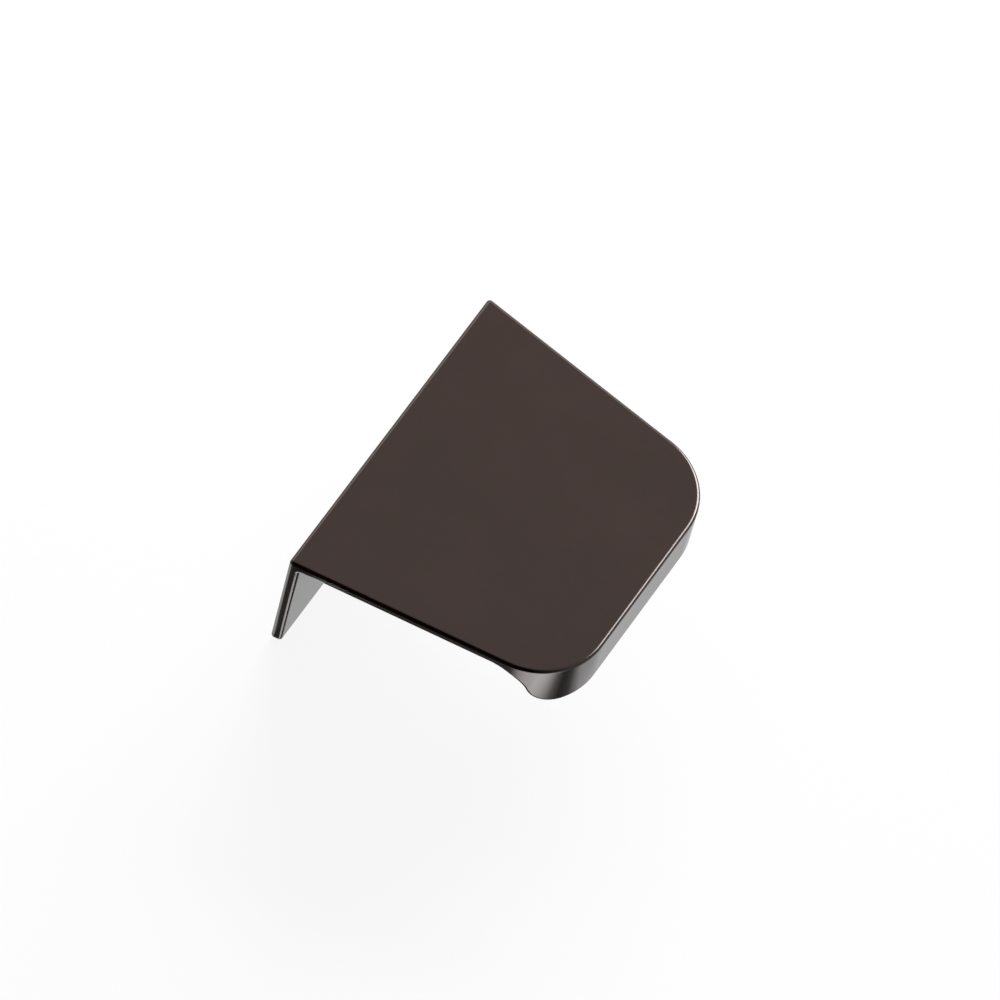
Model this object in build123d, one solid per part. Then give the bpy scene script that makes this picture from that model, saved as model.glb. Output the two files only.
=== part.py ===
from build123d import *
import math
import os

# Edge pull for a cabinet door or drawer front, cast in one piece.
# A flat plate lies on the top edge of the door, a leg behind it takes the screws,
# and a lip in front of it, hollowed at the back, is what the fingers pull on.
# X runs across the pull, the lip faces -Y and Z is up.
# The origin is midway between the screw holes, on the leg's face that meets the door.

# Driving dimensions, in millimetres and degrees

# Plan of the plate
rear_width = 50.0
depth = 40.0
side_taper = 7.5
front_corner_radius = 10.0

# Section from leg to lip
plate_thickness = 1.6
leg_thickness = 1.6
leg_height = 20.0
lip_height = 8.3
lip_land = 1.6
tip_radius = 4.5
hollow_radius = 5.7
bend_radius = 0.5

# Softened edges
edge_radius = 0.5

# Countersunk screw holes in the leg
screw_spacing = 32.0
screw_drop = 11.0
screw_hole_diameter = 4.0
countersink_diameter = 6.4
countersink_angle = 90.0

# Levels and faces that follow from them
top = screw_drop
underside = top - plate_thickness
lip_end = top - lip_height
leg_end = top - leg_height
door_face = 0.0
rear_face = door_face + leg_thickness
lip_face = rear_face - depth


def side_section():
    """Outline seen from the side: leg, plate and lip as one profile, Y across and Z up."""
    # The back of the lip is an S: a round tip, then a hollow that runs out into the underside.
    drop = underside - lip_end
    turn = math.degrees(math.acos(1 - drop / (tip_radius + hollow_radius)))
    tip = JernArc((lip_face + lip_land, lip_end), (1, 0), tip_radius, turn)
    hollow = JernArc(tip @ 1, tip % 1, hollow_radius, -turn)
    outside = Polyline(
        hollow @ 1,
        (door_face, underside),
        (door_face, leg_end),
        (rear_face, leg_end),
        (rear_face, top),
        (lip_face, top),
        (lip_face, lip_end),
        tip @ 0,
    )
    section = make_face([tip, hollow, outside])
    inner_corner = section.vertices().sort_by_distance((door_face, underside))[0]
    return fillet(inner_corner, bend_radius)


def plan_outline():
    """Outline seen from above: sides that taper to the front, with rounded front corners."""
    rear_half = rear_width / 2
    front_half = rear_half - depth * math.tan(math.radians(side_taper))
    outline = make_face(
        Polyline(
            (-rear_half, rear_face),
            (rear_half, rear_face),
            (front_half, lip_face),
            (-front_half, lip_face),
            close=True,
        )
    )
    front_corners = outline.vertices().group_by(Axis.Y)[0]
    return fillet(front_corners, front_corner_radius)


def sharp_edges(solid):
    """Edges where two faces meet at an angle, without the seams of smooth faces."""
    sharp = []
    for edge in solid.edges():
        middle = edge @ 0.5
        first, second = [face for face in solid.faces() if edge in face.edges()]
        if first.normal_at(middle).get_angle(second.normal_at(middle)) > 5:
            sharp.append(edge)
    return sharp


def screw_holes():
    """Countersunk holes through the leg, with the screw heads on its rear face."""
    leg_back = Plane((0, rear_face, 0), x_dir=(1, 0, 0), z_dir=(0, 1, 0))
    hole = CounterSinkHole(
        screw_hole_diameter / 2,
        countersink_diameter / 2,
        leg_thickness,
        countersink_angle,
    )
    return [leg_back * Pos(x, 0) * hole for x in (-screw_spacing / 2, screw_spacing / 2)]


# The profile runs right across, and the plan cuts its ends and its front to shape.
profile_bar = extrude(Plane.YZ * side_section(), rear_width, both=True)
plan_block = extrude(Pos(0, 0, leg_end) * plan_outline(), leg_height)
blank = (profile_bar & plan_block).solid()
pull = fillet(sharp_edges(blank), edge_radius)
for screw_hole in screw_holes():
    pull -= screw_hole

os.makedirs("parts", exist_ok=True)
export_step(pull, "parts/pull.step")
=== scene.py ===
import math

import bmesh
import bpy
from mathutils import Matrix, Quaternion, Vector


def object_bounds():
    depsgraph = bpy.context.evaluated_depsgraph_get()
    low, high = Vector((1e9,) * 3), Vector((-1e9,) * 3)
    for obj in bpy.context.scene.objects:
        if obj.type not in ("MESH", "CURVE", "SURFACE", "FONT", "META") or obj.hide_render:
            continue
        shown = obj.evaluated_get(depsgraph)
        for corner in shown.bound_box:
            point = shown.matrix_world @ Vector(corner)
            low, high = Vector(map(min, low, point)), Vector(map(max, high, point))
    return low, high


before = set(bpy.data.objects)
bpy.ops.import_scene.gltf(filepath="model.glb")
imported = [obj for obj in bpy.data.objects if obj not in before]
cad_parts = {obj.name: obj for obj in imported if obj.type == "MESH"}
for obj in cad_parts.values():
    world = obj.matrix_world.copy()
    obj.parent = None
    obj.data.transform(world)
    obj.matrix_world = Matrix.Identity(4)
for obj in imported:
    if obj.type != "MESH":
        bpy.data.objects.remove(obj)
cad_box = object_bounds()

# The pull is one zinc casting: plate, leg and lip come out of the mould together, and tumbling
# softens every edge. It is plated dark brown and lacquered, so a deep brown metal shows through a
# thin clear gloss, with the faint cloudiness of plating and the fine skin of sprayed lacquer.
MM = 0.001
PLATING_BROWN = (0.0328, 0.0157, 0.0110, 1)
PLATING_DEEP = (0.0276, 0.0131, 0.0089, 1)
CLOUD_SCALE = 90.0
SKIN_SCALE = 1400.0
SKIN_HEIGHT = 0.002 * MM
GLOSS_ROUGHNESS = 0.11
CLOUD_ROUGHNESS = 0.05
SKIN_ROUGHNESS = 0.04
METAL_SHARE = 0.3
LACQUER_IOR = 1.5


def tone(level):
    """A grey, from black at 0 to white at 1."""
    return (level, level, level, 1)


class Socket:
    """One output of a shader node, used in plain sums."""

    def __init__(self, tree, output=None):
        self.tree = tree
        self.output = output

    def add(self, kind, settings=None, inputs=None, output=0):
        """Add a node of a kind: its settings first, then the values or links of its sockets."""
        node = self.tree.nodes.new(kind)
        for name, value in (settings or {}).items():
            if name == "stops":
                ramp = node.color_ramp.elements
                for place, _ in value[2:]:
                    ramp.new(place)
                for stop, (place, shade) in zip(ramp, value):
                    stop.position = place
                    stop.color = tone(shade)
            else:
                setattr(node, name, value)
        for name, value in (inputs or {}).items():
            if isinstance(value, Socket):
                self.tree.links.new(value.output, node.inputs[name])
            else:
                node.inputs[name].default_value = value
        return Socket(self.tree, node.outputs[output] if node.outputs else None)

    def maths(self, operation, first, second):
        return self.add("ShaderNodeMath", {"operation": operation}, {0: first, 1: second})

    def __add__(self, other):
        return self.maths("ADD", self, other)

    def __mul__(self, other):
        return self.maths("MULTIPLY", self, other)

    __radd__ = __add__
    __rmul__ = __mul__


def new_material(name):
    """A bare material, and a start for its nodes."""
    material = bpy.data.materials.new(name)
    material.use_nodes = True
    material.node_tree.nodes.clear()
    return material, Socket(material.node_tree)


def plated_zinc_finish():
    material, nodes = new_material("plated_zinc")
    place = nodes.add("ShaderNodeTexCoord", output="Object")
    cloud = nodes.add(
        "ShaderNodeTexNoise", inputs={"Vector": place, "Scale": CLOUD_SCALE, "Detail": 3.0}
    )
    skin = nodes.add(
        "ShaderNodeTexNoise", inputs={"Vector": place, "Scale": SKIN_SCALE, "Detail": 2.0}
    )
    brown = nodes.add(
        "ShaderNodeMix",
        {"data_type": "RGBA"},
        {"Factor": cloud, 6: PLATING_DEEP, 7: PLATING_BROWN},
        output=2,
    )
    peel = nodes.add(
        "ShaderNodeBump", inputs={"Strength": 1.0, "Distance": SKIN_HEIGHT, "Height": skin}
    )
    lacquer = nodes.add(
        "ShaderNodeBsdfPrincipled",
        inputs={
            "Base Color": brown,
            "Roughness": GLOSS_ROUGHNESS + CLOUD_ROUGHNESS * cloud + SKIN_ROUGHNESS * skin,
            "Metallic": METAL_SHARE,
            "IOR": LACQUER_IOR,
            "Normal": peel,
        },
    )
    lacquer.add("ShaderNodeOutputMaterial", inputs={"Surface": lacquer})
    return material


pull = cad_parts["pull"]
pull.material_slots[0].material = plated_zinc_finish()

# The floor is a plain sheet of white card, a hair below the leg's end. It stays white to the eye
# and in the lacquer, and under that white it keeps the pull's soft shadow.
FLOOR_SIDE = 8.0
FLOOR_GAP = 0.05 * MM
FLOOR_WHITE = 0.9
WHITE_TO_EYE = 0.9
WHITE_IN_LACQUER = 0.86
floor_level = cad_box[0].z - FLOOR_GAP
half_floor = FLOOR_SIDE / 2


def sheet(name, corners, material):
    """A flat sheet with these corners, in metres, such as the floor or a card."""
    mesh = bmesh.new()
    bmesh.ops.contextual_create(mesh, geom=[mesh.verts.new(corner) for corner in corners])
    data = bpy.data.meshes.new(name)
    mesh.to_mesh(data)
    mesh.free()
    data.materials.append(material)
    piece = bpy.data.objects.new(name, data)
    bpy.context.scene.collection.objects.link(piece)
    return piece


def white_to_rays(nodes):
    """The white that a ray meets, and masks of rays from the eye and from glossy or clear surfaces."""
    eye = nodes.add("ShaderNodeLightPath", output="Is Camera Ray")
    glossy = nodes.add("ShaderNodeLightPath", output="Is Glossy Ray")
    clear = nodes.add("ShaderNodeLightPath", output="Is Transmission Ray")
    mirrored = nodes.maths("MAXIMUM", glossy, clear)
    white = nodes.add(
        "ShaderNodeMix",
        {"data_type": "RGBA"},
        {"Factor": mirrored, 6: tone(1), 7: tone(WHITE_IN_LACQUER)},
        output=2,
    )
    return white, eye, mirrored


def white_floor_card():
    material, nodes = new_material("white_floor_card")
    white, eye, mirrored = white_to_rays(nodes)
    matt = nodes.add("ShaderNodeBsdfDiffuse", inputs={"Color": tone(FLOOR_WHITE)})
    glow = nodes.add("ShaderNodeEmission", inputs={"Color": white, "Strength": 1.0})
    shown = nodes.maths("MAXIMUM", WHITE_TO_EYE * eye, mirrored)
    surface = nodes.add("ShaderNodeMixShader", inputs={0: shown, 1: matt, 2: glow})
    surface.add("ShaderNodeOutputMaterial", inputs={"Surface": surface})
    return material


floor = sheet(
    "floor",
    [(x * half_floor, y * half_floor, floor_level) for x, y in ((-1, -1), (1, -1), (1, 1), (-1, 1))],
    white_floor_card(),
)
floor.visible_diffuse = False

# The studio is a white room with soft boxes. A long one on the right lights the colour and a dim one
# behind lifts the rear and far edges. Two more show in the lacquer alone: they draw the light line
# along the lip and round the far corner.
ROOM_FILL = 0.12
BOX_DISTANCE = 1.0

room = bpy.data.worlds.new("room")
room.use_nodes = True
room.node_tree.nodes.clear()
bpy.context.scene.world = room
nodes = Socket(room.node_tree)
white, eye, mirrored = white_to_rays(nodes)
fill = nodes.add("ShaderNodeBackground", inputs={"Strength": ROOM_FILL})
bright = nodes.add("ShaderNodeBackground", inputs={"Color": white, "Strength": 1.0})
walls = nodes.add(
    "ShaderNodeMixShader", inputs={0: nodes.maths("MAXIMUM", eye, mirrored), 1: fill, 2: bright}
)
walls.add("ShaderNodeOutputWorld", inputs={"Surface": walls})


def toward(azimuth, elevation):
    """Direction from the pull to a place; azimuth 0 is in front of the lip and 90 on the right."""
    turn = math.radians(azimuth)
    rise = math.radians(elevation)
    level = math.cos(rise)
    return Vector((level * math.sin(turn), -level * math.cos(turn), math.sin(rise)))


def soft_box(name, azimuth, elevation, width, height, brightness):
    """A lamp that faces the pull from a place in degrees, with its size in metres."""
    lamp = bpy.data.lights.new(name, "AREA")
    lamp.shape = "RECTANGLE"
    lamp.size = width
    lamp.size_y = height
    lamp.energy = brightness * math.pi * width * height
    box = bpy.data.objects.new(name, lamp)
    outward = toward(azimuth, elevation)
    box.location = outward * BOX_DISTANCE
    box.rotation_euler = outward.to_track_quat("Z", "Y").to_euler()
    bpy.context.scene.collection.objects.link(box)
    return box


side_box = soft_box("side_box", azimuth=100, elevation=22, width=0.9, height=0.35, brightness=25.0)
side_box.visible_glossy = False
soft_box("rear_box", azimuth=126, elevation=38, width=0.95, height=0.5, brightness=2.5)
lip_line_box = soft_box(
    "lip_line_box", azimuth=58, elevation=44, width=0.77, height=0.425, brightness=17.0
)
lip_line_box.visible_diffuse = False
corner_line_box = soft_box(
    "corner_line_box", azimuth=70, elevation=28, width=0.67, height=0.45, brightness=17.5
)
corner_line_box.visible_diffuse = False

# Cards round the pull are seen in its lacquer alone, as a photographer sets them to draw edges: a dark
# sail on the left, black paper and grey paper that glows evenly with painted light on the floor, a
# black strip under the plate's near edge, and lit cards, shaded from light to dark, at the near front
# corner and at the foot of the leg.
LIT_CARD = 5.0
GREY_GLOW = 0.28
LEG_GREY_GLOW = 0.18
CARD_GAP = 0.2
LAYER_GAP = 0.1
near = cad_box[0].x / MM
lip_face = cad_box[0].y / MM
rear_face = cad_box[1].y / MM
card_level = floor_level / MM + CARD_GAP


def card(name, corners, material):
    """A sheet that shows in the lacquer alone, with its corners in millimetres."""
    piece = sheet(name, [Vector(corner) * MM for corner in corners], material)
    piece.visible_camera = False
    piece.visible_diffuse = False
    piece.visible_shadow = False


def floor_card(name, outline, material, layer=0):
    """A card that lies on the floor, or on the cards of the layers below it."""
    level = card_level + LAYER_GAP * layer
    card(name, [(x, y, level) for x, y in outline], material)


# Paper that glows evenly at a brightness, painted light seen in the lacquer; at 0 it is black paper.
def plain_paper(name, brightness):
    material, nodes = new_material(name)
    glow = nodes.add("ShaderNodeEmission", inputs={"Strength": brightness})
    glow.add("ShaderNodeOutputMaterial", inputs={"Surface": glow})
    return material


def shaded_paper(name, gradient, start, turn, span, shades):
    """Lit paper whose shade runs along a line from a start, or round it, with shades over a span."""
    material, nodes = new_material(name)
    place = nodes.add("ShaderNodeTexCoord", output="Object")
    placed = nodes.add(
        "ShaderNodeMapping",
        {"vector_type": "TEXTURE"},
        {
            "Vector": place,
            "Location": (start[0] * MM, start[1] * MM, 0),
            "Rotation": (0, 0, turn),
            "Scale": (span * MM, span * MM, 1),
        },
    )
    along = nodes.add("ShaderNodeTexGradient", {"gradient_type": gradient}, {"Vector": placed}, "Fac")
    stops = [(mark / span, level) for mark, level in shades]
    shade = nodes.add("ShaderNodeValToRGB", {"stops": stops}, {"Fac": along}, "Color")
    glow = nodes.add("ShaderNodeEmission", inputs={"Color": shade, "Strength": LIT_CARD})
    glow.add("ShaderNodeOutputMaterial", inputs={"Surface": glow})
    return material


black = plain_paper("black_paper", 0)
grey = plain_paper("grey_glow", GREY_GLOW)

# The sail is black beside the pull, and towards the front it glows a dim grey with painted light.
sail_foot = near - 105
sail_top = 1200
sail_front = -420
sail_back = 75
fade_start = -100
fade_length = fade_start - sail_front
card(
    "dark_sail",
    [
        (sail_foot, sail_front, card_level),
        (sail_foot, sail_back, card_level),
        (sail_foot, sail_back, sail_top),
        (sail_foot, sail_front, sail_top),
    ],
    shaded_paper(
        "sail_shading",
        "LINEAR",
        (0, fade_start),
        -math.pi / 2,
        fade_length,
        ((0, 0.0), (90, 0.06), (fade_length, 0.1)),
    ),
)

# Grey paper, glowing evenly with painted light, shows in the near wall, and black paper in the edges
# above it and beside the leg.
under_near = near + 0.3
grey_edge = near - 14
grey_front = lip_face + 3.9
grey_back = -7.5
side_back = rear_face + 0.85
corner_left = near - 13
corner_front = lip_face - 20
floor_card(
    "grey_side_card",
    [
        (under_near, grey_front),
        (under_near, grey_back),
        (grey_edge, grey_back),
        (grey_edge, grey_front),
    ],
    grey,
)
floor_card(
    "black_side_card",
    [
        (grey_edge, grey_front),
        (grey_edge, side_back),
        (sail_foot, rear_face + 8.4),
        (sail_foot, lip_face - 150),
        (corner_left, corner_front),
        (corner_left, grey_front),
    ],
    black,
)
floor_card(
    "black_leg_card",
    [
        (under_near, grey_back),
        (under_near, rear_face - 0.4),
        (near - 11, rear_face + 0.6),
        (grey_edge, side_back),
        (grey_edge, grey_back),
    ],
    black,
)

# Black paper under the plate ends along the near front corner, and the lit card goes on from there.
# The strip hangs just below the plate and keeps the turn of its near edge dark.
corner_line = [
    (near - 1, lip_face + 4.4),
    (near + 3.5, lip_face - 1.2),
    (near + 10.1, lip_face - 3.9),
]
under_back = -5
floor_card(
    "black_under_card",
    [
        (under_near, under_back),
        (-near, under_back),
        (-near - 5, lip_face + 0.4),
        (near + 12, lip_face - 0.2),
        *reversed(corner_line),
        (under_near, lip_face + 7.4),
    ],
    black,
)
strip_level = cad_box[1].z / MM - 2
strip_back = -3.6
strip_front = -26
card(
    "black_edge_strip",
    [
        (near + 0.15, strip_back, strip_level),
        (near + 1.22, strip_back, strip_level),
        (near + 4.16, strip_front, strip_level),
        (near + 3.09, strip_front, strip_level),
    ],
    black,
)
corner_width = 34
corner_right = corner_left + corner_width
floor_card(
    "shaded_corner_card",
    [
        (corner_left, lip_face + 4.1),
        *corner_line,
        (near + 16.5, lip_face - 3),
        (corner_right, lip_face - 2.1),
        (corner_right, corner_front),
        (corner_left, corner_front),
    ],
    shaded_paper(
        "corner_shading",
        "LINEAR",
        (corner_left, 0),
        0,
        corner_width,
        (
            (8, 0.8),
            (12, 0.94),
            (14.4, 0.66),
            (17.8, 0.12),
            (20.5, 0.02),
            (24, 0.045),
            (28, 0.23),
            (corner_width, WHITE_IN_LACQUER / LIT_CARD),
        ),
    ),
    layer=1,
)

# A third card carries the corner's light over into the grey of the near wall.
turn_start = lip_face - 1
turn_length = 8.4
turn_end = turn_start + turn_length
floor_card(
    "shaded_side_card",
    [
        (corner_left, turn_start),
        (near - 1, turn_start),
        corner_line[0],
        (under_near, turn_end),
        (corner_left, turn_end),
    ],
    shaded_paper(
        "side_shading",
        "LINEAR",
        (0, turn_start),
        math.pi / 2,
        turn_length,
        ((0, 0.8), (2, 0.77), (4.2, 0.61), (6.2, 0.3), (8, GREY_GLOW / LIT_CARD)),
    ),
    layer=2,
)

# The fan at the leg's foot draws the lines down both edges of its end, by angle in degrees.
leg_foot = (near + 0.2, 0.2)
fan_left = near - 10.8
floor_card(
    "shaded_leg_card",
    [
        leg_foot,
        (near - 1.2, 13.1),
        (near - 6.3, 11.5),
        (near - 10.7, 9.3),
        (fan_left, 0.2),
        (near - 9.5, -1),
        (near - 9.3, -4.9),
        (near - 5.8, -10.2),
        (near + 5.2, -9.6),
    ],
    shaded_paper(
        "leg_shading",
        "RADIAL",
        leg_foot,
        math.pi,
        360,
        (
            (96, 0.18),
            (112, 0.4),
            (149, 0.44),
            (157, LEG_GREY_GLOW / LIT_CARD),
            (184, LEG_GREY_GLOW / LIT_CARD),
            (191, 0.8),
            (240, 0.8),
            (247, 0.0),
            (286, 0.0),
            (293, 0.18),
        ),
    ),
    layer=2,
)
# A strip of grey paper, glowing evenly with painted light, shows in the flat end of the leg.
floor_card(
    "grey_leg_card",
    [(leg_foot[0], 0.45), (leg_foot[0], 1.15), (fan_left, 1.5), (fan_left, 0.85)],
    plain_paper("leg_grey_glow", LEG_GREY_GLOW),
    layer=3,
)

# The camera stands where the photograph was taken from, to the left and well above the pull, with
# a long lens and tilted to one side, so that the plate lies across the picture.
CAMERA_AZIMUTH = -71.756
CAMERA_ELEVATION = 58.900
CAMERA_TILT = 15.808
CAMERA_DISTANCE = 1.7415
CAMERA_LENS = 478.44
AIM = Vector((-0.498 * MM, -15.925 * MM, cad_box[1].z))

camera = bpy.data.cameras.new("camera")
camera.lens = CAMERA_LENS
camera.sensor_width = 36.0
camera.clip_end = 20.0
camera_stand = bpy.data.objects.new("camera", camera)
backward = toward(CAMERA_AZIMUTH, CAMERA_ELEVATION)
camera_stand.location = AIM + backward * CAMERA_DISTANCE
tilt = Quaternion((0, 0, 1), math.radians(CAMERA_TILT))
camera_stand.rotation_euler = (backward.to_track_quat("Z", "Y") @ tilt).to_euler()
bpy.context.scene.collection.objects.link(camera_stand)
bpy.context.scene.camera = camera_stand
bpy.context.scene.view_settings.view_transform = "Standard"
